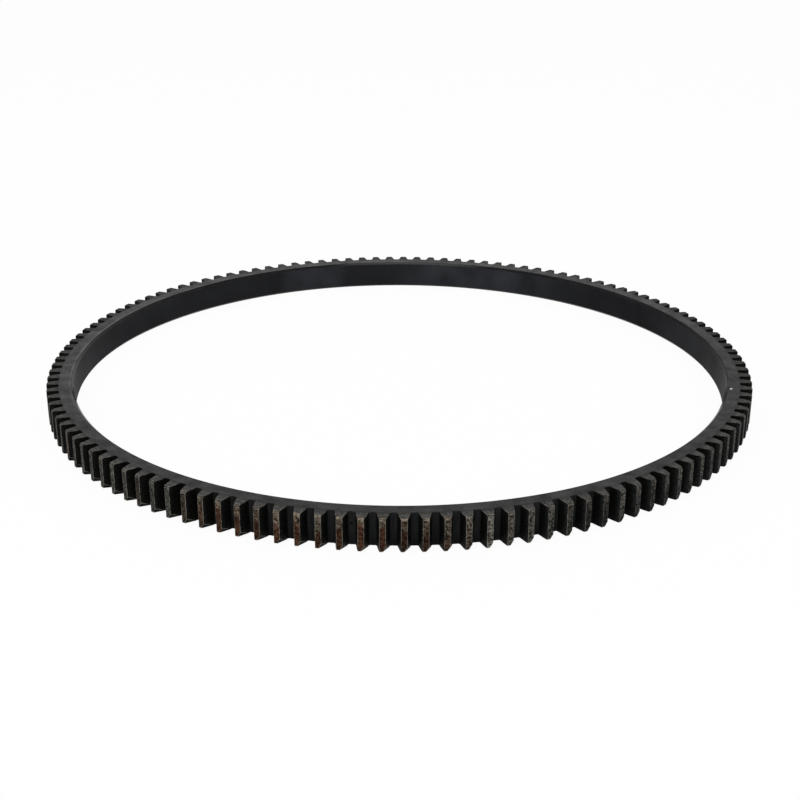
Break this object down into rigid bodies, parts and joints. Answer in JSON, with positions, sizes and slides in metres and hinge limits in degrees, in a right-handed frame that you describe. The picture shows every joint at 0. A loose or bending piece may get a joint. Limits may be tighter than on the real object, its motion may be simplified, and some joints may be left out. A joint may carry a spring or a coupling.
{
  "type": "flywheel ring gear",
  "caption": "Narrow steel ring with full-depth external spur teeth, a chamfered plain bore and a lead-in facet on each tooth, shrunk onto a flywheel for the starter pinion to drive.",
  "frame": {"origin": "on the bore's axis, in the plane of the lower face, which has the lead-in facets", "axes": "+Z along the bore's axis, away from the face with the lead-in facets; a tooth space is centred on +X"},
  "size_m": [0.4096, 0.4096, 0.0175],
  "materials": {
    "blackened_steel": "matt black oxide from heat treatment"
  },
  "bodies": {
    "root": {"ring_gear": "blackened_steel"}
  },
  "joints": []
}
